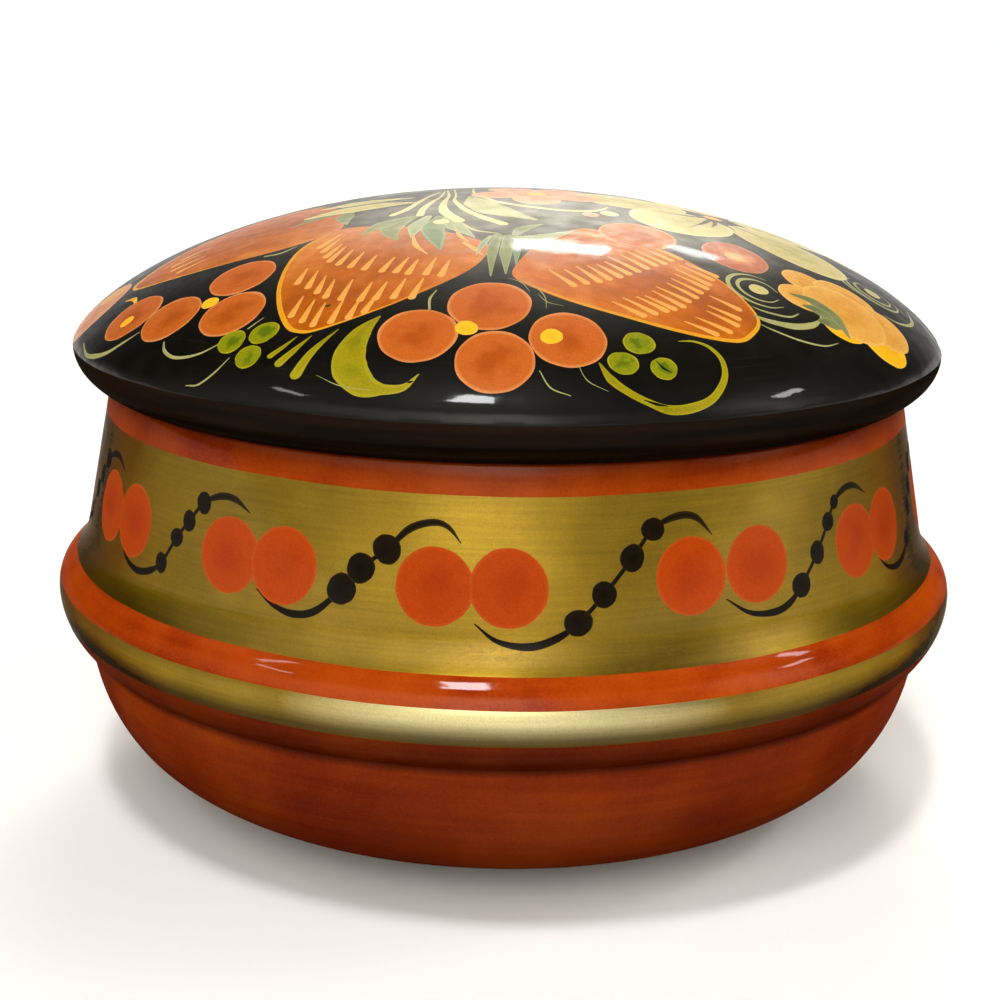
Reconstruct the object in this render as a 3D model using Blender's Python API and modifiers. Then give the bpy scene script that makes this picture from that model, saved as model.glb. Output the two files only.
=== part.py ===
"""A turned wooden trinket box: a round bowl with a bead round its middle, and a domed lid that lifts off.

Metres, +Z up. The origin is the centre of the foot, on the surface that the box stands on.
"""

import math

import bpy
from mathutils import Vector

# The bowl's outside, from its mouth down to its foot
mouth_radius = 0.0575
seat_height = 0.0606  # of the shoulder that carries the lid
neck_flare = 0.0056  # how much wider the neck's line is at the bead than at the mouth
neck_cove_round = 0.0090  # section radius of the hollow between neck and bead
bead_height = 0.0315  # of the bead's widest circle
bead_stand = 0.0029  # how far the bead stands out of the neck's line
bead_upper_round = 0.0050  # section radius of the bead above its widest circle
bead_lower_round = 0.0095  # and below it
crease_inset = 0.0040  # how far in from the bead's widest circle the belly meets it
belly_full_share = 1.3  # 1 is an ellipse, and more is fuller at its corner
foot_radius = 0.0360
foot_height = 0.0024

# The bowl's inside
wall_thickness = 0.0060  # at the mouth
hollow_swell = 0.0035  # how much wider the hollow is at the belly than at the mouth
floor_thickness = 0.0065
floor_radius = 0.0280  # of the flat part of the floor
collar_thickness = 0.0026
collar_height = 0.0050  # above the shoulder

# The lid
lid_overhang = 0.0050  # of its widest circle beyond the mouth
lip_overhang = 0.0010  # of its lower edge beyond the mouth
rim_rise = 0.0055  # from the lid's seat to its widest circle
dome_rise = 0.0206  # from the widest circle to the top
dome_fall_share = 1.4  # 1 is an ellipse, and more is leaner at the shoulder
crown_thickness = 0.0052

# How the two fit
lid_play = 0.0004  # round the collar, on the radius
seat_gap = 0.0003
collar_headroom = 0.0006  # above the collar, inside the lid
edge_round = 0.0005  # section radius of the turned edges

# Angles, in degrees
level = 0
quarter = 90
half_turn = 180
rim_under_turn = 60  # how far the rim's underside curls in
sharp_edge = 30  # faces that meet at more than this are shaded with an edge

# How finely the lathe's curves are stepped
turn_steps = 64
long_steps = 12
arc_steps = 6
edge_steps = 2
weld_share = 0.1  # of the seat's gap: points closer than this are one

bead_radius = mouth_radius + neck_flare + bead_stand
crease_radius = bead_radius - crease_inset
crease_drop = math.sqrt(bead_lower_round**2 - (bead_lower_round - crease_inset) ** 2)
crease_height = bead_height - crease_drop
mouth_inner_radius = mouth_radius - wall_thickness
collar_radius = mouth_inner_radius + collar_thickness
collar_top = seat_height + collar_height
lid_bore_radius = collar_radius + lid_play
lid_radius = mouth_radius + lid_overhang
lid_seat_height = seat_height + seat_gap


def arc(centre, across, up, start, end, steps):
    """Points (radius, height) on an ellipse about centre, from one angle to another in degrees."""
    points = []
    for i in range(steps + 1):
        angle = math.radians(start + (end - start) * i / steps)
        points.append(Vector((centre[0] + across * math.cos(angle), centre[1] + up * math.sin(angle))))
    return points


def bearing(vector):
    """The angle of a vector in the profile's plane, in degrees."""
    return math.degrees(math.atan2(vector.y, vector.x))


def eased(before, corner, after, radius=edge_round):
    """A corner of the profile rounded by an arc that touches both its sides."""
    to_before = (before - corner).normalized()
    to_after = (after - corner).normalized()
    half = to_before.angle(to_after) / 2
    centre = corner + (to_before + to_after).normalized() * radius / math.sin(half)
    start = bearing(corner + to_before * radius / math.tan(half) - centre)
    turn = half_turn - math.degrees(2 * half)
    if to_before.cross(to_after) > 0:
        turn = -turn
    return arc(centre, radius, radius, start, start + turn, edge_steps)


def neck_and_bead():
    """The bowl's outer line from the mouth down to the crease below the bead."""
    mouth = Vector((mouth_radius, seat_height))
    neck_foot = Vector((mouth_radius + neck_flare, bead_height))
    upward = (mouth - neck_foot).normalized()
    outward = Vector((upward.y, -upward.x))
    bead_centre = Vector((bead_radius - bead_upper_round, bead_height))
    # The cove's circle touches the neck's line and the bead's upper circle
    reach = neck_cove_round + bead_upper_round
    across = (neck_foot + outward * neck_cove_round - bead_centre).dot(outward)
    cove_centre = bead_centre + outward * across + upward * math.sqrt(reach**2 - across**2)
    neck_end = cove_centre - outward * neck_cove_round
    cove_start = bearing(-outward) % (2 * half_turn)
    cove_end = bearing(bead_centre - cove_centre) % (2 * half_turn)
    bead_start = cove_end - half_turn
    points = eased(Vector((collar_radius, seat_height)), mouth, neck_end)
    points += arc(cove_centre, neck_cove_round, neck_cove_round, cove_start, cove_end, arc_steps)
    points += arc(bead_centre, bead_upper_round, bead_upper_round, bead_start, level, arc_steps)[1:]
    lower_centre = (bead_radius - bead_lower_round, bead_height)
    crease_turn = -math.degrees(math.asin(crease_drop / bead_lower_round))
    points += arc(lower_centre, bead_lower_round, bead_lower_round, level, crease_turn, arc_steps)[1:]
    return points


def belly():
    """The bowl's outer line below the crease, which would be level with the bead where it is widest."""
    points = []
    up = bead_height - foot_height
    fullness = 1 / belly_full_share
    start = math.asin((crease_drop / up) ** belly_full_share)
    across = (crease_radius - foot_radius) / math.cos(start) ** fullness
    for i in range(1, long_steps + 1):
        turn = start + (math.radians(quarter) - start) * i / long_steps
        radius = foot_radius + across * math.cos(turn) ** fullness
        points.append(Vector((radius, bead_height - up * math.sin(turn) ** fullness)))
    return points


def bowl_profile():
    """From the middle of the hollow's floor, up the inside, over the collar and down the outside."""
    hollow_radius = mouth_inner_radius + hollow_swell
    points = [Vector((0, floor_thickness))]
    floor_centre = (floor_radius, crease_height)
    across = hollow_radius - floor_radius
    up = crease_height - floor_thickness
    points += arc(floor_centre, across, up, -quarter, level, long_steps)
    for i in range(1, arc_steps):
        climbed = i / arc_steps
        radius = mouth_inner_radius + hollow_swell * (1 + math.cos(math.pi * climbed)) / 2
        points.append(Vector((radius, crease_height + (seat_height - crease_height) * climbed)))
    inner_foot = Vector((mouth_inner_radius, seat_height))
    inner_top = Vector((mouth_inner_radius, collar_top))
    outer_top = Vector((collar_radius, collar_top))
    collar_foot = Vector((collar_radius, seat_height))
    points.append(inner_foot)
    points += eased(inner_foot, inner_top, outer_top)
    points += eased(inner_top, outer_top, collar_foot)
    points.append(collar_foot)
    points += neck_and_bead()
    points += belly()
    middle = Vector((0, 0))
    points += eased(points[-1], Vector((foot_radius, 0)), middle)
    points.append(middle)
    return points


def lid_profile():
    """From the top of the dome, down over the rim, across the seat and up the hollow.

    Heights are above the lid's own origin, the middle of its seat."""
    points = []
    for i in range(long_steps + 1):
        turn = math.radians(quarter) * i / long_steps
        height = rim_rise + dome_rise * math.cos(turn) ** dome_fall_share
        points.append(Vector((lid_radius * math.sin(turn), height)))
    under_across = (lid_overhang - lip_overhang) / (1 - math.cos(math.radians(rim_under_turn)))
    under_up = rim_rise / math.sin(math.radians(rim_under_turn))
    under_centre = (lid_radius - under_across, rim_rise)
    under = arc(under_centre, under_across, under_up, level, -rim_under_turn, arc_steps)[1:]
    lip = under.pop()
    bore_foot = Vector((lid_bore_radius, 0))
    bore_top = Vector((lid_bore_radius, collar_height + collar_headroom - seat_gap))
    points += under
    points += eased(under[-1], lip, bore_foot)
    points += eased(lip, bore_foot, bore_top)
    # The hollow's ceiling is one circle from the bore's top to the middle
    ceiling = rim_rise + dome_rise - crown_thickness
    rise = ceiling - bore_top.y
    ceiling_round = (lid_bore_radius**2 + rise**2) / (2 * rise)
    ceiling_start = math.degrees(math.acos(lid_bore_radius / ceiling_round))
    ceiling_centre = (0, ceiling - ceiling_round)
    points += arc(ceiling_centre, ceiling_round, ceiling_round, ceiling_start, quarter, long_steps)
    points[-1].x = 0
    return points


def painted_wood(name, colour, roughness, metallic):
    """Lacquered paint over wood."""
    material = bpy.data.materials.new(name)
    material.use_nodes = True
    shader = material.node_tree.nodes["Principled BSDF"]
    shader.inputs["Base Color"].default_value = (*colour, 1)
    shader.inputs["Roughness"].default_value = roughness
    shader.inputs["Metallic"].default_value = metallic
    return material


def turned(name, profile, material, height, collection):
    """One piece of lathe work: the profile turned about +Z, with its origin at the given height."""
    line = bpy.data.meshes.new(name + "_profile")
    corners = [(point.x, 0, point.y) for point in profile]
    line.from_pydata(corners, [(i, i + 1) for i in range(len(corners) - 1)], [])
    blank = bpy.data.objects.new(name + "_blank", line)
    collection.objects.link(blank)
    screw = blank.modifiers.new("Turning", "SCREW")
    screw.steps = turn_steps
    screw.render_steps = turn_steps
    screw.use_merge_vertices = True
    screw.merge_threshold = seat_gap * weld_share
    shape = bpy.data.meshes.new_from_object(blank.evaluated_get(bpy.context.evaluated_depsgraph_get()))
    bpy.data.objects.remove(blank)
    shape.shade_smooth()
    shape.set_sharp_from_angle(angle=math.radians(sharp_edge))
    shape.materials.clear()
    shape.materials.append(material)
    piece = bpy.data.objects.new(name, shape)
    piece.location = (0, 0, height)
    collection.objects.link(piece)
    return piece


for old in list(bpy.data.objects):
    bpy.data.objects.remove(old)

box = bpy.data.collections.new("trinket_box")
bpy.context.scene.collection.children.link(box)

# The bowl: gold over red, under a warm clear lacquer
gold_lacquer = painted_wood("gold_lacquered_wood", (0.50, 0.36, 0.09), 0.28, 0.6)
turned("bowl", bowl_profile(), gold_lacquer, 0, box)

# The lid: black, under the same lacquer, with its origin on the line that it lifts along
black_lacquer = painted_wood("black_lacquered_wood", (0.012, 0.010, 0.008), 0.12, 0.0)
turned("lid", lid_profile(), black_lacquer, lid_seat_height, box)
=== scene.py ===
"""A folk-painted, lacquered wooden trinket box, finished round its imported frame.

Metres, +Z up, with the painted side that the photograph shows towards -Y. An azimuth is in degrees
from there, counted towards +X. Sizes that read best in millimetres are given so, times mm.
"""

import math

import bpy
import numpy as np
from mathutils import Euler, Matrix, Vector, kdtree
from mathutils.geometry import delaunay_2d_cdt


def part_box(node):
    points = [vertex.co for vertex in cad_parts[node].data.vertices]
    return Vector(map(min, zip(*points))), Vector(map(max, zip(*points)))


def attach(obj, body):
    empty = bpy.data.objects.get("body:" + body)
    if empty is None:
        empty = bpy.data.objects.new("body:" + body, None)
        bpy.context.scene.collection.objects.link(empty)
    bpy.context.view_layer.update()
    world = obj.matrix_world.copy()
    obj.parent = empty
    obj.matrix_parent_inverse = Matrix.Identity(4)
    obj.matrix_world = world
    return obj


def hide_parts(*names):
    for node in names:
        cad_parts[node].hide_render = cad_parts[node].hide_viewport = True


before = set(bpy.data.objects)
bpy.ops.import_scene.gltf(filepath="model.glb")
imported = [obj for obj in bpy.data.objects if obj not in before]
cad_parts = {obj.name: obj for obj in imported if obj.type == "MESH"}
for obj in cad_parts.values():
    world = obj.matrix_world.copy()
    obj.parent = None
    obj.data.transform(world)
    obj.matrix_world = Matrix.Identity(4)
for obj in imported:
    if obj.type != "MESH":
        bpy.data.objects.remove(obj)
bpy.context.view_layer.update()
mm = 0.001


# The bowl's wood. One block of limewood, hollowed and turned on a lathe: a straight neck that widens
# downwards, a bead, and a belly that rounds in to a low foot. A thin collar stands up inside the
# mouth. Its outline is cut as a line of arcs, and every coat of paint follows the same turning.

_, bowl_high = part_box("bowl")
lid_low, lid_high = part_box("lid")
seat_gap = 0.3 * mm
seat_height = lid_low.z - seat_gap
collar_top = bowl_high.z
bead_radius = bowl_high.x
bead_height = 31.5 * mm
mouth_radius = 57.5 * mm
neck_flare = 5.6 * mm
neck_cove_round = 9.0 * mm
bead_upper_round = 5.0 * mm
bead_lower_round = 9.5 * mm
crease_inset = 4.0 * mm
belly_full_share = 1.3
foot_radius = 36.0 * mm
foot_height = 2.4 * mm
mouth_inner_radius = 51.5 * mm
collar_radius = 54.1 * mm
hollow_swell = 3.5 * mm
floor_height = 6.5 * mm
floor_radius = 28.0 * mm
edge_round = 0.5 * mm
crease_radius = bead_radius - crease_inset
crease_drop = math.sqrt(bead_lower_round**2 - (bead_lower_round - crease_inset) ** 2)
crease_height = bead_height - crease_drop

# How many steps each stretch of the outline is first drawn in
hollow_steps = 30
wall_steps = 11
edge_steps = 4
cove_steps = 16
bead_steps = 14
belly_steps = 44

# How finely the skins are then meshed
segments = 288  # round the axis
longest_step = 1.3 * mm
least_step = 0.3 * mm
ground_gap = 0.5 * mm  # from a painted outline to the plain ground's own points
same_place = 0.003 * mm
least_round = 6  # points in the plain ground's smallest ring
inside_only = 1  # the triangulation's choice of faces: none outside its edges
plan_epsilon = 1e-7
sharp_turn = 30  # degrees, above which a corner isn't shaded smooth


def arc(centre, across, up, start, end, steps):
    """Points (radius, height) on an ellipse about centre, from one angle to another in degrees."""
    turn = np.radians(np.linspace(start, end, steps + 1))
    return [Vector((centre[0] + across * math.cos(a), centre[1] + up * math.sin(a))) for a in turn]


def bearing(vector):
    """The angle of a vector in the outline's plane, in degrees."""
    return math.degrees(math.atan2(vector.y, vector.x))


def eased(before, corner, after):
    """A corner of an outline rounded by an arc that touches both its sides."""
    to_before = (before - corner).normalized()
    to_after = (after - corner).normalized()
    half = to_before.angle(to_after) / 2
    centre = corner + (to_before + to_after).normalized() * edge_round / math.sin(half)
    start = bearing(corner + to_before * edge_round / math.tan(half) - centre)
    turn = 180 - math.degrees(2 * half)
    if to_before.cross(to_after) > 0:
        turn = -turn
    return arc(centre, edge_round, edge_round, start, start + turn, edge_steps)


def bowl_outline():
    """From the middle of the hollow's floor, up the inside, over the collar and down the outside."""
    points = [Vector((0, floor_height))]
    across = mouth_inner_radius + hollow_swell - floor_radius
    up = crease_height - floor_height
    points += arc((floor_radius, crease_height), across, up, -90, 0, hollow_steps)
    for climbed in np.linspace(0, 1, wall_steps + 1)[1:-1]:
        swell = hollow_swell * (1 + math.cos(math.pi * climbed)) / 2
        height = crease_height + (seat_height - crease_height) * climbed
        points.append(Vector((mouth_inner_radius + swell, height)))
    inner_foot = Vector((mouth_inner_radius, seat_height))
    inner_top = Vector((mouth_inner_radius, collar_top))
    outer_top = Vector((collar_radius, collar_top))
    collar_foot = Vector((collar_radius, seat_height))
    mouth = Vector((mouth_radius, seat_height))
    points += [inner_foot, *eased(inner_foot, inner_top, outer_top)]
    points += [*eased(inner_top, outer_top, collar_foot), collar_foot]
    neck_foot = Vector((mouth_radius + neck_flare, bead_height))
    upward = (mouth - neck_foot).normalized()
    outward = Vector((upward.y, -upward.x))
    bead_centre = Vector((bead_radius - bead_upper_round, bead_height))
    reach = neck_cove_round + bead_upper_round
    across = (neck_foot + outward * neck_cove_round - bead_centre).dot(outward)
    cove_centre = bead_centre + outward * across + upward * math.sqrt(reach**2 - across**2)
    cove_start = bearing(-outward) % 360
    cove_end = bearing(bead_centre - cove_centre) % 360
    points += eased(collar_foot, mouth, cove_centre - outward * neck_cove_round)
    points += arc(cove_centre, neck_cove_round, neck_cove_round, cove_start, cove_end, cove_steps)
    points += arc(bead_centre, bead_upper_round, bead_upper_round, cove_end - 180, 0, cove_steps)[1:]
    lower_centre = (bead_radius - bead_lower_round, bead_height)
    crease_turn = -math.degrees(math.asin(crease_drop / bead_lower_round))
    points += arc(lower_centre, bead_lower_round, bead_lower_round, 0, crease_turn, bead_steps)[1:]
    up = bead_height - foot_height
    fullness = 1 / belly_full_share
    start = math.asin((crease_drop / up) ** belly_full_share)
    across = (crease_radius - foot_radius) / math.cos(start) ** fullness
    for turn in np.linspace(start, math.pi / 2, belly_steps + 1)[1:]:
        radius = foot_radius + across * max(math.cos(turn), 0) ** fullness
        points.append(Vector((radius, bead_height - up * math.sin(turn) ** fullness)))
    middle = Vector((0, 0))
    return points + [*eased(points[-1], Vector((foot_radius, 0)), middle), middle]


class Turning:
    """A turned surface: rows round the axis along an outline, and the coat of paint between them.

    coats are (paint, where it ends), in order along the outline. An end is a corner (radius, height), a
    height of the outside, or None for the outline's own end."""

    def __init__(self, outline, coats):
        points = [outline[0]]
        for point in outline[1:]:
            start, gap = points[-1], (point - points[-1]).length
            if gap > same_place:
                steps = math.ceil(gap / longest_step)
                points += [start.lerp(point, i / steps) for i in range(1, steps + 1)]
        self.line = np.array(points)
        self.along = np.concatenate([[0], np.cumsum(np.hypot(*np.diff(self.line, axis=0).T))])
        ends = [self.find(end) for _, end in coats]
        clear = [s for s in self.along if min(abs(s - end) for end in ends) > least_step]
        self.rows = np.array(sorted(clear + ends))
        self.is_end = np.isin(self.rows, ends[:-1])
        between = (self.rows[1:] + self.rows[:-1]) / 2
        self.paints = [coats[np.searchsorted(ends, s)][0] for s in between]
        self.find_normals()

    def find_normals(self):
        """Outward directions just before and just after each row, alike unless it is on a corner."""
        ways = np.diff(np.stack([self.radius(self.rows), self.height(self.rows)], axis=1), axis=0)
        ways /= np.linalg.norm(ways, axis=1)[:, None]
        out = np.stack([-ways[:, 1], ways[:, 0]], axis=1)
        self.before, self.after = np.vstack([out[:1], out]), np.vstack([out, out[-1:]])
        mean = self.before + self.after
        mean /= np.linalg.norm(mean, axis=1)[:, None]
        smooth = (self.before * self.after).sum(axis=1) > math.cos(math.radians(sharp_turn))
        self.before[smooth] = self.after[smooth] = mean[smooth]
        self.before[0] = self.after[0] = (0, 1)
        self.before[-1] = self.after[-1] = (0, -1)

    def radius(self, s):
        return np.interp(s, self.along, self.line[:, 0])

    def height(self, s):
        return np.interp(s, self.along, self.line[:, 1])

    def find(self, end):
        """How far along the outline an end lies."""
        if end is None:
            return self.along[-1]
        if isinstance(end, tuple):
            return self.along[np.argmin(np.hypot(*(self.line - end).T))]
        outside = slice(np.argmax(self.line[:, 1]), np.argmin(self.line[:, 1]) + 1)
        return np.interp(-np.asarray(end), -self.line[outside, 1], self.along[outside])

    def row(self, end):
        return int(np.argmin(np.abs(self.rows - self.find(end))))


def wander(azimuth):
    """How far a line of paint strays, as the brush is held to the turning piece by hand."""
    waves = np.sin(3 * azimuth + 1) + 0.6 * np.sin(7 * azimuth + 2) + 0.4 * np.sin(16 * azimuth)
    return 0.07 * mm * waves


def to_plan(azimuth, reach):
    """A place in the plan that a skin's painted zone is laid out in, with the axis in its middle."""
    return np.stack([reach * np.sin(azimuth), -reach * np.cos(azimuth)], axis=-1)


class Skin:
    """The mesh of a turning. Between two of its rows, the zone, the faces follow what is painted there.

    Each corner keeps its azimuth and how far along the outline it lies. Each face has its paint, and
    each of its corners the place in the stroke that painted it."""

    def __init__(self, turning, zone):
        self.turning = turning
        self.first, self.last = zone
        self.around = np.radians(np.arange(segments) * 360 / segments)
        self.azimuth, self.along, self.row_start = [], [], {}
        self.faces, self.normals, self.paints, self.brush = [], [], [], []
        for i, s in enumerate(turning.rows):
            if 0 < self.first >= i or i >= self.last:
                self.row_start[i] = len(self.along)
                on_axis = turning.radius(s) < same_place
                self.azimuth.extend([0] if on_axis else self.around)
                self.along.extend([s] if on_axis else s + wander(self.around) * turning.is_end[i])
        for i in range(len(turning.rows) - 1):
            if not self.first <= i < self.last:
                self.add_stretch(i)

    def add_stretch(self, i):
        """The faces between a row outside the zone and the next, which meet in a point on the axis."""
        turning = self.turning
        a, b = self.row_start[i], self.row_start[i + 1]
        for j in range(segments):
            k = (j + 1) % segments
            if i == 0:
                corners = [(a, i), (b + j, i + 1), (b + k, i + 1)]
            elif i == len(turning.rows) - 2:
                corners = [(a + j, i), (b, i + 1), (a + k, i)]
            else:
                corners = [(a + j, i), (b + j, i + 1), (b + k, i + 1), (a + k, i)]
            self.faces.append([corner for corner, _ in corners])
            for corner, row in corners:
                way = turning.after[i] if row == i else turning.before[i + 1]
                turn = self.azimuth[corner]
                if len(corners) == 3 and way[0] == 0:
                    turn = self.around[j]
                self.normals.append((way[0] * math.sin(turn), -way[0] * math.cos(turn), way[1]))
            self.paints.append(turning.paints[i])
            self.brush.extend([(0, 0, 0)] * len(corners))

    def reach(self, s):
        """How far from the plan's middle a place along the outline lies."""
        rows = self.turning.rows
        return s - rows[self.first] + self.turning.radius(rows[self.first])

    def lay_out(self, dabs, to_surface):
        """The zone's plan: points, the rings of edges that bound it, and each dab's outlines."""
        flat = to_plan(np.array(self.azimuth), self.reach(np.array(self.along)))
        plan = [Vector(point) for point in flat]
        points, rims, edges = [], [], []
        starts = [self.row_start[row] for row in (self.last, self.first) if row]
        for start in starts:
            edges += [(len(points) + j, len(points) + (j + 1) % segments) for j in range(segments)]
            rims += range(start, start + segments)
            points += plan[start : start + segments]
        outlines, owners = [], []
        for number, dab in enumerate(dabs):
            for outline in dab.outlines:
                turn, s = to_surface(outline[:, 0], outline[:, 1])
                flat = to_plan(turn, self.reach(s))
                ahead = np.roll(flat, -1, axis=0)
                if (flat[:, 0] * ahead[:, 1] - flat[:, 1] * ahead[:, 0]).sum() < 0:
                    flat = flat[::-1]
                outlines.append(list(range(len(points), len(points) + len(flat))))
                points += [Vector(point) for point in flat]
                owners.append(number)
        return points, rims, edges, outlines, owners

    def plain_ground(self, points):
        """Points for the ground between the dabs, in rings, and clear of every outline."""
        taken = kdtree.KDTree(len(points))
        for i, point in enumerate(points):
            taken.insert((*point, 0), i)
        taken.balance()
        rows, ground = self.turning.rows, []
        for i in range(1, math.ceil((rows[self.last] - rows[self.first]) / longest_step)):
            reach = self.reach(rows[self.first]) + i * longest_step
            count = max(least_round, round(2 * math.pi * reach / longest_step))
            ring = to_plan(2 * math.pi * (np.arange(count) + (i % 2) / 2) / count, reach)
            ground += [Vector(point) for point in ring if taken.find((*point, 0))[2] > ground_gap]
        return ground

    def paint_zone(self, dabs, to_surface, to_chart):
        """Fills the zone with triangles, each in the paint of the last dab that covers it."""
        turning = self.turning
        points, rims, edges, outlines, owners = self.lay_out(dabs, to_surface)
        points += self.plain_ground(points)
        found = delaunay_2d_cdt(points, edges, outlines, inside_only, plan_epsilon, True)
        numbers = []
        for point, sources in zip(found[0], found[3]):
            shared = [rims[source] for source in sources if source < len(rims)]
            numbers.append(shared[0] if shared else len(self.along))
            if not shared:
                self.azimuth.append(math.atan2(point[0], -point[1]))
                self.along.append(math.hypot(*point) - self.reach(0))
        inner_ring = set(rims[segments:])  # empty where the zone reaches the axis
        triangles, tops = [], []
        for corners, sources in zip(found[2], found[5]):
            corners = [numbers[corner] for corner in corners]
            if not all(corner in inner_ring for corner in corners):
                triangles.append(corners)
                tops.append(max((owners[source] for source in sources), default=-1))
        triangles, tops = np.array(triangles), np.array(tops)
        azimuth, along = np.array(self.azimuth), np.array(self.along)
        marks = np.zeros((len(triangles), 3, 3))
        for number, dab in enumerate(dabs):
            mine = np.flatnonzero(tops == number)
            x, y = to_chart(azimuth[triangles[mine]], along[triangles[mine]], dab.anchor)
            marks[mine, :, :2] = dab.local(np.stack([x, y], axis=-1))
            marks[mine, :, 2] = dab.seed
        self.faces += triangles.tolist()
        self.brush += marks.reshape(-1, 3).tolist()
        self.paints += [dabs[top].paint if top >= 0 else turning.paints[self.first] for top in tops]
        turn, s = azimuth[triangles.ravel()], along[triangles.ravel()]
        out = np.interp(s, turning.rows, turning.after[:, 0])
        up = np.interp(s, turning.rows, turning.after[:, 1])
        self.normals += np.stack([out * np.sin(turn), -out * np.cos(turn), up], axis=1).tolist()

    def as_piece(self, name):
        """The finished mesh as an object in the scene, with its paints as materials."""
        azimuth, along = np.array(self.azimuth), np.array(self.along)
        radius, height = self.turning.radius(along), self.turning.height(along)
        places = np.stack([radius * np.sin(azimuth), -radius * np.cos(azimuth), height], axis=1)
        shape = bpy.data.meshes.new(name)
        shape.from_pydata(places.tolist(), [], self.faces)
        used = list(dict.fromkeys(self.paints))
        for material in used:
            shape.materials.append(material)
        order = {material: i for i, material in enumerate(used)}
        shape.polygons.foreach_set("material_index", [order[material] for material in self.paints])
        shape.attributes.new("along", "FLOAT", "POINT").data.foreach_set("value", along)
        marks = shape.attributes.new("brush", "FLOAT_VECTOR", "CORNER")
        marks.data.foreach_set("vector", np.array(self.brush).ravel())
        shape.shade_smooth()
        shape.normals_split_custom_set(self.normals)
        piece = bpy.data.objects.new(name, shape)
        bpy.context.scene.collection.objects.link(piece)
        return piece


def linear(colour):
    """An sRGB hex colour as the linear values that a shader takes."""
    shares = [int(colour[i : i + 2], 16) / 255 for i in (1, 3, 5)]
    return [s / 12.92 if s < 0.04045 else ((s + 0.055) / 1.055) ** 2.4 for s in shares] + [1]


def fill(tree, node, inputs):
    """Gives a node's inputs what they take: a value, a socket, or another node's result."""
    for name, value in inputs.items():
        sockets = [socket for socket in node.inputs if socket.enabled]
        socket = sockets[name] if isinstance(name, int) else node.inputs[name]
        if isinstance(value, bpy.types.Node):
            value = next(output for output in value.outputs if output.enabled)
        if isinstance(value, bpy.types.NodeSocket):
            tree.links.new(value, socket)
        else:
            socket.default_value = value


def add(tree, kind, inputs=None, stops=(), **settings):
    """Adds a shader node with its settings and links. Stops are a ramp's, with its ends first."""
    made = tree.nodes.new("ShaderNode" + kind)
    for name, value in settings.items():
        setattr(made, name, value)
    for i, (place, colour) in enumerate(stops):
        ramp = made.color_ramp.elements
        stop = ramp[i] if i < 2 else ramp.new(place)
        stop.position = place
        stop.color = linear(colour) if isinstance(colour, str) else (colour, colour, colour, 1)
    fill(tree, made, inputs or {})
    return made


def round_the_axis(tree, spacing, length):
    """Where marks left by the turning lie: spacing apart down the piece, and drawn out round it."""
    split = add(tree, "SeparateXYZ", {0: add(tree, "TexCoord").outputs["Object"]})
    down = add(tree, "Attribute", attribute_name="along").outputs["Fac"]
    place = add(tree, "CombineXYZ", {0: split.outputs["X"], 1: split.outputs["Y"], 2: down})
    scales = (1 / length, 1 / length, 1 / spacing)
    return add(tree, "VectorMath", {0: place, 1: scales}, operation="MULTIPLY")


# The clear lacquer as the bowl has it. Ripple and wear are how deep the brush's waves and the fine
# scratches are. Handling has dulled the gloss, so less of it is left at a low angle than when new.
bowl_lacquer = {"gloss": 0.3, "low_gloss": 0.08, "ripple": 0.006 * mm, "wear": 0.0006 * mm}
steep_facing = 0.2  # where the gloss starts to fall, as Layer Weight counts
low_facing = 0.6


def under_lacquer(name, colour, roughness, relief, lacquer=bowl_lacquer, **more):
    """A coat of paint under clear oil lacquer: colour, roughness and relief make their nodes in its tree.

    The lacquer is brushed on and baked, so its gloss is deep, with a faint ripple and a grain of dust
    and fine scratches. What else the shader takes is in more, by its sockets' names."""
    material = bpy.data.materials.new(name)
    material.use_nodes = True
    tree = material.node_tree
    place = add(tree, "TexCoord").outputs["Object"]
    wave = add(tree, "TexNoise", {"Vector": place, "Scale": 1 / (2.2 * mm), "Detail": 2})
    grain = add(tree, "TexNoise", {"Vector": place, "Scale": 1 / (0.3 * mm), "Detail": 2})
    marks = round_the_axis(tree, 0.25 * mm, 6 * mm)
    hair = add(tree, "TexNoise", {"Vector": marks, "Scale": 1, "Detail": 2})
    fine = add(tree, "Math", {0: grain, 1: hair}, operation="ADD")
    depth = lacquer["ripple"] / lacquer["wear"]
    swell = add(tree, "Math", {0: wave, 1: depth, 2: fine}, operation="MULTIPLY_ADD")
    angle = add(tree, "LayerWeight", {"Blend": 0.5}).outputs["Facing"]
    gloss = lacquer["gloss"]
    falling = {0: angle, 1: steep_facing, 2: low_facing, 3: gloss, 4: lacquer["low_gloss"] * gloss}
    fill(tree, tree.nodes["Principled BSDF"], {
        "Base Color": colour(tree),
        "Roughness": roughness(tree),
        "Normal": add(tree, "Bump", {"Height": relief(tree), "Strength": 1.0, "Distance": 0.02 * mm}),
        "Coat Weight": add(tree, "MapRange", falling),
        "Coat Roughness": 0.06,
        "Coat IOR": 1.3,
        "Coat Normal": add(tree, "Bump", {"Height": swell, "Strength": 1.0, "Distance": lacquer["wear"]}),
        "Specular IOR Level": 0.0,
        **more,
    })
    return material


def patches(size, detail, smoothest, roughest):
    """Roughness that changes in patches of a size, as a coat dries unevenly."""

    def make(tree):
        place = add(tree, "TexCoord").outputs["Object"]
        patch = add(tree, "TexNoise", {"Vector": place, "Scale": 1 / size, "Detail": detail})
        return add(tree, "MapRange", {0: patch, 1: 0.3, 2: 0.7, 3: smoothest, 4: roughest})

    return make


def turning_marks(spacing, length, detail):
    """Relief of the marks that a brush or rag leaves on a piece as it turns."""

    def make(tree):
        place = round_the_axis(tree, spacing, length)
        return add(tree, "TexNoise", {"Vector": place, "Scale": 1, "Detail": detail})

    return make


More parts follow.
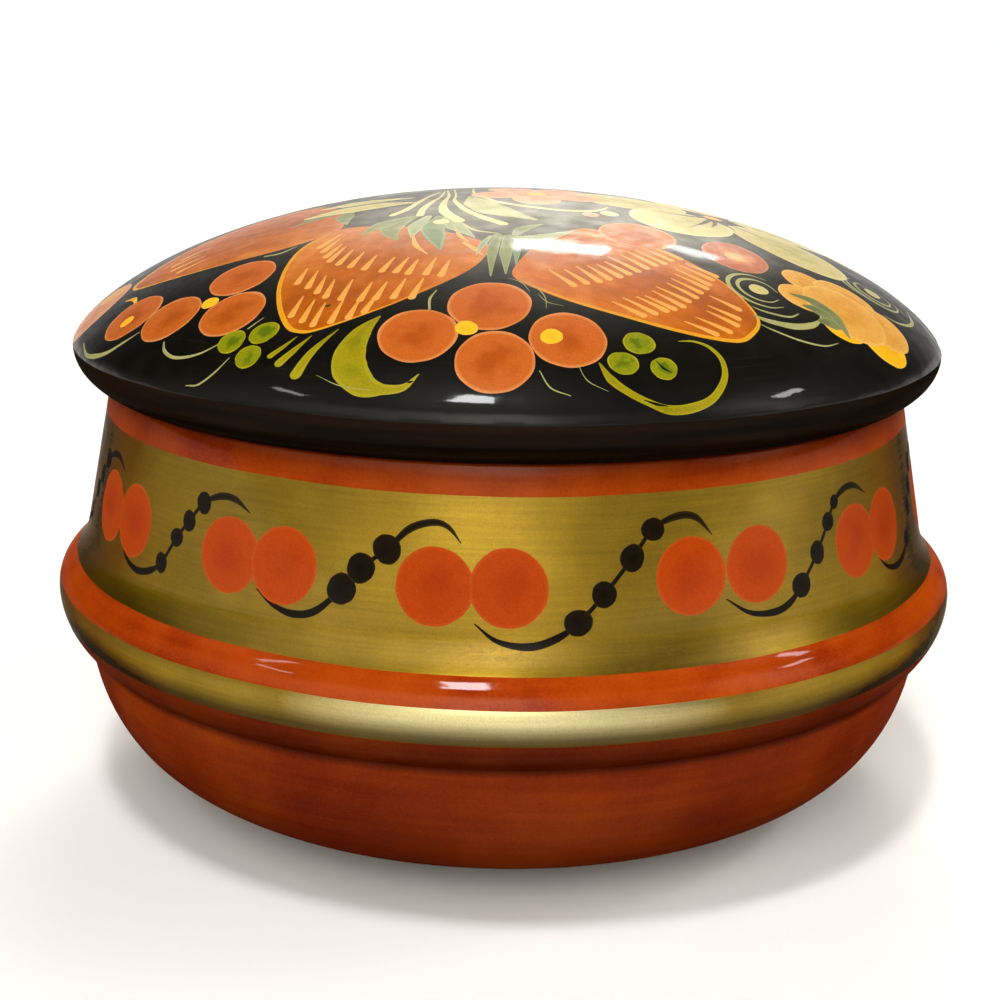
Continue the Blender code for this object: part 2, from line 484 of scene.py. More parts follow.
# Where the painted bands end, going down
neck_top = 56.9 * mm
neck_foot_line = 36.3 * mm
ring_foot = 33.0 * mm
bead_foot = 28.3 * mm


def gold_colour(tree):
    """Aluminium powder that amber lacquer turns to gold: cloudy, in fine grains, with the rag's marks.

    Under the bead it is painted darker, a painted shade. On top of the bead it is painted pale, as bare
    metal:
    a painted highlight, strongest at the front and gone at the sides."""
    place = add(tree, "TexCoord").outputs["Object"]
    cloud = add(tree, "TexNoise", {"Vector": place, "Scale": 1 / (14 * mm), "Detail": 3})
    tone = add(tree, "ValToRGB", {0: cloud}, stops=[(0.32, "#80661C"), (0.7, "#987B25")])
    grain = add(tree, "TexNoise", {"Vector": place, "Scale": 1 / (0.22 * mm), "Detail": 2})
    marks = round_the_axis(tree, 0.45 * mm, 14 * mm)
    rubbed = add(tree, "TexNoise", {"Vector": marks, "Scale": 1, "Detail": 3})
    both = add(tree, "Math", {0: grain, 1: rubbed}, operation="ADD")
    light = add(tree, "MapRange", {0: both, 1: 0.6, 2: 1.4, 3: 0.78, 4: 1.14})
    split = add(tree, "SeparateXYZ", {0: place})
    to_front, height = split.outputs["Y"], split.outputs["Z"]
    # Painted shade: darker on the underside of the bead
    painted_shade_factor = add(tree, "MapRange", {0: height, 1: bead_foot + 0.8 * mm, 2: bead_height, 3: 0.3, 4: 1.0})
    light = add(tree, "Math", {0: light, 1: painted_shade_factor}, operation="MULTIPLY")
    # Painted highlight: pale metal on top of the bead, strongest at the front
    on_bead = add(tree, "MapRange", {0: height, 1: bead_height - 3.2 * mm, 2: bead_height - 0.4 * mm})
    on_neck = add(tree, "MapRange", {0: height, 1: ring_foot, 2: neck_foot_line})
    painted_highlight_share = add(tree, "Math", {0: on_bead, 1: on_neck}, operation="SUBTRACT")
    front_highlight_share = add(tree, "MapRange", {0: to_front, 1: -60 * mm, 2: -bead_radius, 3: 0.0, 4: 0.85})
    painted_highlight_share = add(tree, "Math", {0: painted_highlight_share, 1: front_highlight_share}, operation="MULTIPLY")
    gold_with_painted_highlight = add(tree, "Mix", {0: painted_highlight_share, 1: tone, 2: linear("#E4D9A2")}, data_type="RGBA")
    return add(tree, "VectorMath", {0: gold_with_painted_highlight, "Scale": light}, operation="SCALE")


def coat_colour(deep, middle, light, cloud_size, painted_shade=None):
    """A ground coat of oil paint, laid as the piece turned: a little thick and thin, in rings and clouds.

    The last argument makes, from the height, the share of the coat's colour that is left where shade is
    painted on it."""

    def make(tree):
        place = add(tree, "TexCoord").outputs["Object"]
        cloud = add(tree, "TexNoise", {"Vector": place, "Scale": 1 / cloud_size, "Detail": 4})
        marks = round_the_axis(tree, 1.1 * mm, 22 * mm)
        rings = add(tree, "TexNoise", {"Vector": marks, "Scale": 1, "Detail": 3})
        grain = add(tree, "TexNoise", {"Vector": place, "Scale": 1 / (0.35 * mm), "Detail": 2})
        both = add(tree, "Math", {0: rings, 1: 0.3, 2: cloud}, operation="MULTIPLY_ADD")
        thick = add(tree, "Math", {0: grain, 1: 0.35, 2: both}, operation="MULTIPLY_ADD")
        share = add(tree, "MapRange", {0: thick, 1: 0.55, 2: 1.1})
        tone = add(tree, "ValToRGB", {0: share}, stops=[(0.1, deep), (0.9, light), (0.5, middle)])
        if painted_shade is None:
            return tone
        # Painted shade: the coat darkened by height, as the given shade function says
        painted_shade_factor = painted_shade(tree, add(tree, "SeparateXYZ", {0: place}).outputs["Z"])
        return add(tree, "VectorMath", {0: tone, "Scale": painted_shade_factor}, operation="SCALE")

    return make


def belly_painted_shade(tree, height):
    """Painted shade: darker in the crease under the bead, and darker down the belly towards its foot."""
    lower = add(tree, "MapRange", {0: height, 1: 0.0, 2: 0.8 * crease_height, 3: 0.42, 4: 1.0})
    below = {0: height, 1: crease_height - 1.2 * mm, 2: crease_height - 0.2 * mm, 3: 1.0, 4: 0.35}
    above = {0: height, 1: crease_height, 2: bead_foot, 3: 0.0, 4: 0.35}
    painted_shade_factor = add(tree, "Math", {0: add(tree, "MapRange", below), 1: lower}, operation="MULTIPLY")
    return add(tree, "Math", {0: painted_shade_factor, 1: add(tree, "MapRange", above)}, operation="ADD")


def mouth_painted_shadow(tree, height):
    """A painted shadow: the coat is darker just under the lid's edge."""
    return add(tree, "MapRange", {0: height, 1: neck_top + 0.4 * mm, 2: seat_height, 3: 1.0, 4: 0.45})


# The gold: metal powder rubbed into tacky varnish with a rag, which gives a satin shine. The rag's marks
# run round the piece, so the shine is drawn out up and down.
rubbed_lacquer = {**bowl_lacquer, "gloss": 0.5}
gold_satin = patches(0.4 * mm, 2, 0.3, 0.46)
rag_marks = turning_marks(0.4 * mm, 9 * mm, 3)
metal = {"Metallic": 0.9, "Anisotropic": 0.6, "Anisotropic Rotation": 0.25}
metal["Specular Tint"] = linear("#5A4420")
gold = under_lacquer("aluminium_gold", gold_colour, gold_satin, rag_marks, rubbed_lacquer, **metal)
round_it = add(gold.node_tree, "Tangent", direction_type="RADIAL", axis="Z").outputs["Tangent"]
fill(gold.node_tree, gold.node_tree.nodes["Principled BSDF"], {"Tangent": round_it})

# The oil coats, brushed on as the piece turned: glossy cinnabar on the neck's rings, with a painted shadow
# under the lid, a duller, browner red on the belly with painted shade, and the same red without painted shade
# inside, where only the varnish covers it
coat_dullness = patches(3 * mm, 3, 0.35, 0.55)
brush_marks = turning_marks(0.8 * mm, 12 * mm, 4)
belly_lacquer = {**bowl_lacquer, "gloss": 0.2}
cinnabar_coat = coat_colour("#842604", "#9A3807", "#A8430A", 9 * mm, mouth_painted_shadow)
cinnabar = under_lacquer("cinnabar_oil_coat", cinnabar_coat, coat_dullness, brush_marks, rubbed_lacquer)
brown_coat = coat_colour("#661B03", "#7C2804", "#8E3606", 16 * mm, belly_painted_shade)
red_brown = under_lacquer("red_brown_oil_coat", brown_coat, coat_dullness, brush_marks, belly_lacquer)
inner_coat = coat_colour("#6E2105", "#8A3307", "#9C3E0A", 16 * mm)
inner_red_brown = under_lacquer(
    "inner_red_brown_coat", inner_coat, coat_dullness, brush_marks, belly_lacquer
)


def grained(tree, place, tone):
    """The tone with a fine grain in it, light and dark, as of ground pigment."""
    grain = add(tree, "TexNoise", {"Vector": place, "Scale": 1 / (0.25 * mm), "Detail": 2})
    light = add(tree, "MapRange", {0: grain, 1: 0.3, 2: 0.7, 3: 0.88, 4: 1.1})
    return add(tree, "VectorMath", {0: tone, "Scale": light}, operation="SCALE")


def dab_colour(middle, body, edge, cloud_size=2.5 * mm, spread=0.5):
    """Oil paint put on with one dab of a pad or brush: it gathers in the middle and thins to its edge."""

    def make(tree):
        brush = add(tree, "Attribute", attribute_name="brush").outputs["Vector"]
        marks = add(tree, "SeparateXYZ", {0: brush})
        flat = add(tree, "CombineXYZ", {0: marks.outputs["X"], 1: marks.outputs["Y"]})
        reach = add(tree, "VectorMath", {0: flat}, operation="LENGTH")
        place = add(tree, "TexCoord").outputs["Object"]
        cloud = add(tree, "TexNoise", {"Vector": place, "Scale": 1 / cloud_size, "Detail": 4})
        uneven = add(tree, "MapRange", {0: cloud, 1: 0.3, 2: 0.7, 3: -spread / 2, 4: spread / 2})
        inner = add(tree, "MapRange", {0: reach, 1: 0.2, 2: 1.0, 3: 0.0, 4: 0.8})
        depth = add(tree, "Math", {0: inner, 1: uneven}, operation="ADD")
        tone = add(tree, "ValToRGB", {0: depth}, stops=[(0.0, middle), (0.75, body), (0.45, body)])
        rim = add(tree, "MapRange", {0: reach, 1: 0.9, 2: 0.99})
        mix = add(tree, "Mix", {0: rim, 1: tone, 2: linear(edge)}, data_type="RGBA")
        return grained(tree, place, mix)

    return make


def dab_relief(tree):
    """The stipple that a pad or a full brush leaves in thick paint."""
    place = add(tree, "TexCoord").outputs["Object"]
    return add(tree, "TexNoise", {"Vector": place, "Scale": 1 / (0.5 * mm), "Detail": 3})


# The neck's oils: berries in the rings' own cinnabar, which glow against the gold, and lamp black stems
dab_dullness = patches(1.5 * mm, 3, 0.35, 0.6)
berry_colour = dab_colour("#9C3409", "#A73D0B", "#AE4814", cloud_size=4 * mm)
neck_berry_red = under_lacquer("cinnabar_berry_oil", berry_colour, dab_dullness, dab_relief)
stem_colour = dab_colour("#120D06", "#181209", "#2A2210")
stem_black = under_lacquer("lamp_black_stem_oil", stem_colour, dab_dullness, dab_relief)

hand = np.random.default_rng(11)  # the painter's hand, which is never quite even
whole_turn = 6.28  # radians
drawn_step = 0.45  # millimetres between the points of a painted outline
blunt_end = 0.2  # millimetres: a stroke's end whose half width is more is rounded
round_end_points = 9
least_half_width = 0.05


class Dab:
    """One dab or stroke, in a chart's millimetres: the outlines it fills, and its own two directions."""

    def __init__(self, paint, outlines, local, anchor):
        self.paint, self.local, self.anchor = paint, local, anchor
        self.outlines = [np.array(outline) for outline in outlines]
        self.seed = hand.uniform(0, 10)


def oval(paint, x, y, wide, tall=None, turn=0.0, uneven=0.02):
    """A dab of a round pad: an ellipse of these half widths, not quite even."""
    tall = tall or wide
    count = max(10, round(2 * math.pi * max(wide, tall) / drawn_step))
    angle = 2 * math.pi * np.arange(count) / count
    shift = hand.uniform(0, whole_turn, 3)
    reach = 1 + uneven * (np.sin(2 * angle + shift[0]) + 0.5 * np.sin(3 * angle + shift[1]))
    reach += uneven * 0.3 * np.sin(8 * angle + shift[2])
    c, s = math.cos(math.radians(turn)), math.sin(math.radians(turn))
    u, v = wide * reach * np.cos(angle), tall * reach * np.sin(angle)
    outline = np.stack([x + u * c - v * s, y + u * s + v * c], axis=1)

    def local(points):
        px, py = points[..., 0] - x, points[..., 1] - y
        return np.stack([(px * c + py * s) / wide, (py * c - px * s) / tall], axis=-1)

    return Dab(paint, [outline], local, x)


def smooth(points, closed=False):
    """A smooth line through the points, stepped finely, and how far along the points each step is."""
    points = np.array(points, float)
    if closed:
        points = np.vstack([points[-1:], points, points[:2]])
    else:
        points = np.vstack([2 * points[0] - points[1], points, 2 * points[-1] - points[-2]])
    line, places = [], []
    for i in range(1, len(points) - 2):
        a, b, c, d = points[i - 1 : i + 3]
        count = max(2, math.ceil(np.linalg.norm(c - b) / drawn_step))
        for t in np.arange(count) / count:
            bend = 2 * a - 5 * b + 4 * c - d + t * (3 * (b - c) + d - a)
            line.append(b + 0.5 * t * (c - a + t * bend))
            places.append(i - 1 + t)
    if not closed:
        line.append(points[-2])
        places.append(len(points) - 3)
    return np.array(line), np.array(places)


def stroke(paint, points, widths):
    """A stroke of a pointed brush along the points. Its width at each of them swells as it is pressed."""
    line, places = smooth(points)
    half = np.interp(places, np.linspace(0, len(points) - 1, len(widths)), widths) / 2
    way = np.gradient(line, axis=0)
    way /= np.linalg.norm(way, axis=1)[:, None]
    across = np.stack([-way[:, 1], way[:, 0]], axis=1)
    left, right = line + across * half[:, None], line - across * half[:, None]
    outlines = [(left[i], right[i], right[i + 1], left[i + 1]) for i in range(len(line) - 1)]
    for end, sign in ((0, -1), (-1, 1)):
        if half[end] > blunt_end:
            angle = np.radians(np.linspace(-90, 90, round_end_points))[:, None]
            round_end = sign * way[end] * np.cos(angle) + across[end] * np.sin(angle)
            outlines.append(line[end] + half[end] * round_end)

    def local(spots):
        flat = spots.reshape(-1, 2)
        near = np.argmin(np.linalg.norm(flat[:, None] - line[None], axis=2), axis=1)
        off = ((flat - line[near]) * across[near]).sum(axis=1) / np.maximum(half[near], least_half_width)
        return np.stack([near / len(line), np.clip(off, -1, 1)], axis=-1).reshape(spots.shape)

    return Dab(paint, outlines, local, line[0][0])


# The neck's ornament, in a chart of millimetres round the neck and up from the foot. Each pair of
# berries: the azimuth of its middle, and how far to the sides of it they lie
berry_radius = 4.7
berry_height = 46.9
berry_pairs = [
    (-58.4, 4.1), (-30.8, 4.0), (-4.0, 4.2), (26.2, 4.55), (52.6, 4.0), (80, 4.2), (108, 4.1),
    (135.5, 4.4), (163, 4.0), (191.5, 4.3), (219, 4.1), (246.5, 4.2), (274, 4.4),
]
front_pair = 2
front_pair_drop = 0.6  # how much lower it lies than the others
# Four forms of stem, in degrees past its pair and millimetres up: the curls at its ends, and its beads
stem_forms = [
    ([(1.3, 43.2), (3.5, 41.5), (6.5, 40.8), (9.5, 41.5)],
     [(11.8, 43.1, 1.3), (14.3, 46.9, 1.3), (16.3, 49.4, 1.3), (18.6, 52.1, 1.35)],
     [(21.3, 53.4), (23.8, 53.4), (26.3, 52.1)]),
    ([(0.6, 43.3), (3, 41.8), (5.8, 41.1), (8.7, 41.9)],
     [(11.7, 44.9, 1.95), (13.9, 47.6, 1.85), (16.9, 50.1, 1.8)],
     [(19.5, 52.7), (22.2, 53.6), (24, 53.1), (25.5, 51.3)]),
    ([(0.4, 42), (3, 40), (6.5, 39.4), (9.5, 40.3)],
     [(12, 42.1, 1.7), (15, 45.3, 1.6), (18.4, 49.4, 1.55), (21, 52.6, 1.5)],
     [(24, 53.9), (26.5, 53.6), (28.6, 51.3)]),
    ([(-0.2, 43.4), (3, 41.3), (6.5, 40.8), (9, 41.5)],
     [(11.1, 43.3, 1.6), (14.3, 46.8, 1.4), (16.8, 50.2, 1.2), (18.4, 52.4, 0.9)],
     [(20.5, 53.6), (23, 53.7), (25.8, 52.2)]),
]
drawn_gap = 27  # degrees between two pairs, for which the forms are drawn
neck_mean_radius = 60.5
per_degree = math.radians(neck_mean_radius)


def neck_ornament():
    """Pairs of berries round the neck, and the stems that climb from each pair to the next."""
    dabs = []
    ahead = berry_pairs[1:] + [(berry_pairs[0][0] + 360, 0)]
    for i, ((middle, apart), (following, _)) in enumerate(zip(berry_pairs, ahead)):
        lower, beads, upper = stem_forms[i % len(stem_forms)]
        stretch = 1 if i < len(stem_forms) else (following - middle) / drawn_gap
        foot = [((middle + x * stretch) * per_degree, y) for x, y in lower]
        climb = [((middle + x * stretch) * per_degree, y, size) for x, y, size in beads]
        hook = [((middle + x * stretch) * per_degree, y) for x, y in upper]
        line = foot + [(x, y) for x, y, _ in climb] + hook
        hook_widths = [0.95, 0.85, 0.6][: len(hook) - 1]
        widths = [0.15, 0.6, 0.95, 0.95, *[0.55] * len(climb), *hook_widths, 0.1]
        dabs.append(stroke(stem_black, line, widths))
        for x, y, size in climb:
            dabs.append(oval(stem_black, x, y, size, size * hand.uniform(0.95, 1.1), uneven=0.04))
        for side in (-1, 1):
            x = (middle + side * apart) * per_degree
            y = berry_height + hand.uniform(-0.3, 0.3)
            if i == front_pair:
                y -= front_pair_drop
            dabs.append(oval(neck_berry_red, x, y, berry_radius, berry_radius * 1.01, uneven=0.012))
    return dabs


bowl_coats = [
    (inner_red_brown, (collar_radius, seat_height)),
    (cinnabar, neck_top),
    (gold, neck_foot_line),
    (cinnabar, ring_foot),
    (gold, bead_foot),
    (red_brown, None),
]
bowl_turning = Turning(bowl_outline(), bowl_coats)


def neck_surface(x, y):
    """The azimuth and the distance along the outline of a place in the neck's chart."""
    return x / neck_mean_radius, bowl_turning.find(y * mm)


def neck_chart(azimuth, along, near):
    """Where a place on the neck lies in its chart, on the side of the seam that near is on."""
    half_turn = math.pi * neck_mean_radius
    x = near + (azimuth * neck_mean_radius - near + half_turn) % (2 * half_turn) - half_turn
    return x, bowl_turning.height(along) / mm


neck_zone = bowl_turning.row(neck_top), bowl_turning.row(neck_foot_line)
bowl_skin = Skin(bowl_turning, neck_zone)
bowl_skin.paint_zone(neck_ornament(), neck_surface, neck_chart)
bowl = bowl_skin.as_piece("painted_bowl")
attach(bowl, "bowl")
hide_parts("bowl")


# The lid. A second block of limewood, turned to a dome with a rim that rolls under to a lip, and bored
# out below to sit round the bowl's collar. Outside it is black, and the fruit and flowers are painted
# on the black with brushes and round pads before the lacquer goes on.

lid_radius = lid_high.x
seat = lid_low.z
rim_rise = 5.5 * mm
dome_rise = lid_high.z - seat - rim_rise
dome_fall_share = 1.4
rim_under_turn = 60
lid_overhang = lid_radius - mouth_radius
lip_overhang = 1.0 * mm
lid_play = 0.4 * mm  # round the collar, on the radius
headroom = 0.6 * mm  # above the collar
lid_bore_radius = collar_radius + lid_play
bore_height = collar_top + headroom - seat
crown_thickness = 5.2 * mm
dome_steps = 60
under_steps = 24
ceiling_steps = 40


def lid_outline():
    """From the top of the dome, down over the rim, across the seat and up the hollow."""
    points = []
    for turn in np.radians(np.linspace(0, 90, dome_steps + 1)):
        height = seat + rim_rise + dome_rise * max(math.cos(turn), 0) ** dome_fall_share
        points.append(Vector((lid_radius * math.sin(turn), height)))
    under_across = (lid_overhang - lip_overhang) / (1 - math.cos(math.radians(rim_under_turn)))
    under_up = rim_rise / math.sin(math.radians(rim_under_turn))
    under_centre = (lid_radius - under_across, seat + rim_rise)
    under = arc(under_centre, under_across, under_up, 0, -rim_under_turn, under_steps)[1:]
    lip = under.pop()
    bore_foot = Vector((lid_bore_radius, seat))
    bore_top = Vector((lid_bore_radius, seat + bore_height))
    points += [*under, *eased(under[-1], lip, bore_foot), *eased(lip, bore_foot, bore_top)]
    ceiling = seat + rim_rise + dome_rise - crown_thickness
    rise = ceiling - bore_top.y
    ceiling_round = (lid_bore_radius**2 + rise**2) / (2 * rise)
    ceiling_start = math.degrees(math.acos(lid_bore_radius / ceiling_round))
    centre = (0, ceiling - ceiling_round)
    points += arc(centre, ceiling_round, ceiling_round, ceiling_start, 90, ceiling_steps)
    points[-1].x = 0
    return points


# The lid's lacquer is thicker than the bowl's: it mirrors more, and its ripple and scratches are deeper
lid_lacquer = {"gloss": 0.5, "low_gloss": 0.4, "ripple": 0.014 * mm, "wear": 0.0012 * mm}
lid_sheen = {"Specular IOR Level": 0.1}  # of the oil itself, under the lacquer


def black_colour(tree):
    """Lampblack in oil, with the faint grey of dust and hairline marks that run round the piece."""
    marks = round_the_axis(tree, 0.16 * mm, 11 * mm)
    hair = add(tree, "TexNoise", {"Vector": marks, "Scale": 1, "Detail": 2})
    place = add(tree, "TexCoord").outputs["Object"]
    haze = add(tree, "TexNoise", {"Vector": place, "Scale": 1 / (7 * mm), "Detail": 5})
    share = add(tree, "MapRange", {0: haze, 1: 0.45, 2: 0.75})
    lines = add(tree, "MapRange", {0: hair, 1: 0.56, 2: 0.72})
    both = add(tree, "Math", {0: share, 1: lines}, operation="MULTIPLY")
    return add(tree, "ValToRGB", {0: both}, stops=[(0.0, "#080602"), (1.0, "#242016")])


def black_with_painted_reflection(tree):
    """Under the rim the black is painted dark brown in rings: a painted reddish reflection of the neck below
    it.
    """
    marks = round_the_axis(tree, 1.5 * mm, 30 * mm)
    rings = add(tree, "TexNoise", {"Vector": marks, "Scale": 1, "Detail": 3})
    return add(tree, "ValToRGB", {0: rings}, stops=[(0.35, "#100A05"), (0.7, "#22150A")])


# The black coats: lampblack, deep and mirror-like, over the dome, and dull under the rim, with a painted
# reflection there
lampblack = under_lacquer(
    "lampblack_oil_coat", black_colour, coat_dullness, brush_marks, lid_lacquer, **lid_sheen
)
worn_lacquer = {**bowl_lacquer, "gloss": 0.12}
dull_black = under_lacquer(
    "lampblack_under_rim", black_with_painted_reflection, coat_dullness, brush_marks, worn_lacquer
)


def lid_oil(name, *colours, **settings):
    """One of the lid's oils: colours for the middle of a dab, its body and its edge."""
    colour = dab_colour(*colours, **settings)
    return under_lacquer(name, colour, dab_dullness, dab_relief, lid_lacquer, **lid_sheen)


# Oils pressed on with a round pad, which leaves a clean spot with a thin and lighter edge
pad_red = lid_oil("lid_berry_oil", "#A2480A", "#B65A1A", "#CC8248")
pink_red = lid_oil("pink_berry_oil", "#C88052", "#A85430", "#B87458")
pad_green = lid_oil("green_berry_oil", "#546404", "#7E8008", "#A69816", 1.6 * mm, 0.9)
pad_yellow = lid_oil("yellow_centre_oil", "#F0A818", "#F6B01C", "#F0B040")
# Greens laid with a pointed brush and mixed unevenly on it, so that the leaves are cloudy
leaf_green = lid_oil("leaf_green_oil", "#7E7604", "#928408", "#9C9018", 4 * mm, 0.8)
curl_green = lid_oil("curl_green_oil", "#8E8C54", "#A09C64", "#98945C")
calyx_green = lid_oil("calyx_green_oil", "#5E6438", "#747848", "#848658", 3 * mm, 0.9)
pale_leaf = lid_oil("pale_leaf_oil", "#77805C", "#8E946C", "#9A9E7A", 3 * mm, 0.9)
leaf_teal = lid_oil("leaf_teal_oil", "#4E6238", "#5E744A", "#78886A", 3 * mm, 0.9)
# Body colours, thick with white, of the flowers and the sweeping curls: soft and chalky
cream = lid_oil("cream_oil", "#AE9E5A", "#C0B06E", "#CEC082", 5 * mm, 0.9)
ochre = lid_oil("ochre_flower_oil", "#CA8C32", "#D49A42", "#DCAA58", 4 * mm, 0.9)
deep_yellow = lid_oil("deep_yellow_oil", "#DC9C10", "#E8AA14", "#E8B038", 4 * mm, 0.8)
peach = lid_oil("peach_flower_oil", "#B86A40", "#CC8458", "#D89A70", 4 * mm, 0.9)
peach_light = lid_oil("pale_peach_oil", "#E8A870", "#E09C66", "#D07850")
# Thin oils for the finest brush: even lines, dark for the stamens, and golden for seeds and rims
stamen_brown = lid_oil("stamen_brown_oil", "#3A2C14", "#443418", "#4A3A1E")
seed_gold = lid_oil("seed_gold_oil", "#D08C3C", "#DC9844", "#DC9844")
rim_gold = lid_oil("gold_rim_oil", "#CC8A14", "#D4941C", "#D4941C")


def strawberry_colour(tree):
    """Two reds wiped over each other along the fruit, so that its edges glow and its middle is brown."""
    brush = add(tree, "Attribute", attribute_name="brush").outputs["Vector"]
    marks = add(tree, "SeparateXYZ", {0: brush})
    u, v, seed = (marks.outputs[axis] for axis in "XYZ")
    across = add(tree, "Math", {0: v}, operation="ABSOLUTE")
    body = add(tree, "MapRange", {0: across, 1: 0.2, 2: 1.0, 3: 0.25, 4: 0.75})
    wiped_u = add(tree, "Math", {0: u, 1: 3.5}, operation="MULTIPLY")
    wiped_v = add(tree, "Math", {0: v, 1: 8.0}, operation="MULTIPLY")
    wiped = add(tree, "CombineXYZ", {0: wiped_u, 1: wiped_v, 2: seed})
    streak = add(tree, "TexNoise", {"Vector": wiped, "Scale": 1.0, "Detail": 5})
    place = add(tree, "TexCoord").outputs["Object"]
    cloud = add(tree, "TexNoise", {"Vector": place, "Scale": 1 / (5 * mm), "Detail": 4})
    uneven = add(tree, "Math", {0: streak, 1: 0.5, 2: cloud}, operation="MULTIPLY_ADD")
    uneven = add(tree, "MapRange", {0: uneven, 1: 0.5, 2: 1.0, 3: -0.4, 4: 0.4})
    depth = add(tree, "Math", {0: body, 1: uneven}, operation="ADD")
    stops = [(0.05, "#9A4A02"), (0.95, "#C67424"), (0.5, "#B25A06")]
    return grained(tree, place, add(tree, "ValToRGB", {0: depth}, stops=stops))


# Red oil wiped thin over red, so that the fruit looks clear and lit from inside
strawberry_red = under_lacquer(
    "strawberry_oil", strawberry_colour, dab_dullness, dab_relief, lid_lacquer, **lid_sheen
)
# The fruit's outline, from calyx to tip: shares of its length and of half its width
strawberry_shares = [
    (0.02, 0.45), (0.06, 0.82), (0.16, 0.96), (0.32, 1), (0.5, 0.9), (0.7, 0.69), (0.86, 0.43), (0.965, 0.18),
]
# Its gold rim and its seeds, in millimetres and degrees
rim_inset = 0.3
rim_shift = 0.1  # towards the tip
rim_widths = [0.2, 0.45, 0.55, 0.65, 0.7, 0.6, 0.35, 0.2, 0.05]
seed_lengths = (4.0, 5.0)
seed_widths = [0.2, 0.7, 1.0]
seed_stray = 0.15
seed_turn = 3


def strawberry(x, y, heading, length, wide, full=(1.0, 1.0), rows=()):
    """A strawberry from its calyx at (x, y), with its gold rim and its rows of seeds.

    rows are (places of a row's seeds, how many, and which way they point at its two ends)."""
    way = np.array([math.cos(math.radians(heading)), math.sin(math.radians(heading))])
    side = np.array([-way[1], way[0]])
    middle = np.array([x, y])

    def spot(along, across):
        return middle + way * along + side * across

    right = [spot(u * length, -wide * v ** full[0]) for u, v in strawberry_shares]
    left = [spot(u * length, wide * v ** full[1]) for u, v in reversed(strawberry_shares)]
    outline = smooth([spot(0, 0), *right, spot(length, 0), *left], closed=True)[0]

    def local(points):
        away = points - middle
        return np.stack([away @ way / length, away @ side / wide], axis=-1)

    dabs = [Dab(strawberry_red, [outline], local, x)]
    near, far = strawberry_shares[2:], strawberry_shares[:3:-1]
    rim = [spot(u * length + rim_shift, rim_inset - wide * v ** full[0]) for u, v in near]
    rim.append(spot(length - rim_inset, 0))
    rim += [spot(u * length + rim_shift, wide * v ** full[1] - rim_inset) for u, v in far]
    dabs.append(stroke(rim_gold, rim, rim_widths))
    for places, count, pointing in rows:
        line = smooth(places)[0]
        for share in np.linspace(0, 1, count):
            foot = line[round(share * (len(line) - 1))] + hand.uniform(-seed_stray, seed_stray, 2)
            points_to = pointing[0] + (pointing[1] - pointing[0]) * share
            turn = math.radians(points_to + hand.uniform(-seed_turn, seed_turn))
            rise = hand.uniform(*seed_lengths) * np.array([math.cos(turn), math.sin(turn)])
            dabs.append(stroke(seed_gold, [foot - rise, foot - 0.4 * rise, foot], seed_widths))
    return dabs


def pads(paint, places, **settings):
    """Dabs of one paint, each from its place and its half widths."""
    return [oval(paint, *place, **settings) for place in places]


def strokes(paint, lines):
    """Strokes of one paint, each from its points and its widths."""
    return [stroke(paint, line, widths) for line, widths in lines]


five_petals = [-90, -18, 54, 126, 198]  # which way they point from the flower's middle, in degrees


def flower(paint, x, y, headings, away, long, wide):
    """Petals round a centre, each one pad or full brush of paint."""
    petals = []
    for heading in headings:
        across, up = away * math.cos(math.radians(heading)), away * math.sin(math.radians(heading))
        petals.append(oval(paint, x + across, y + up, long, wide, heading))
    return petals


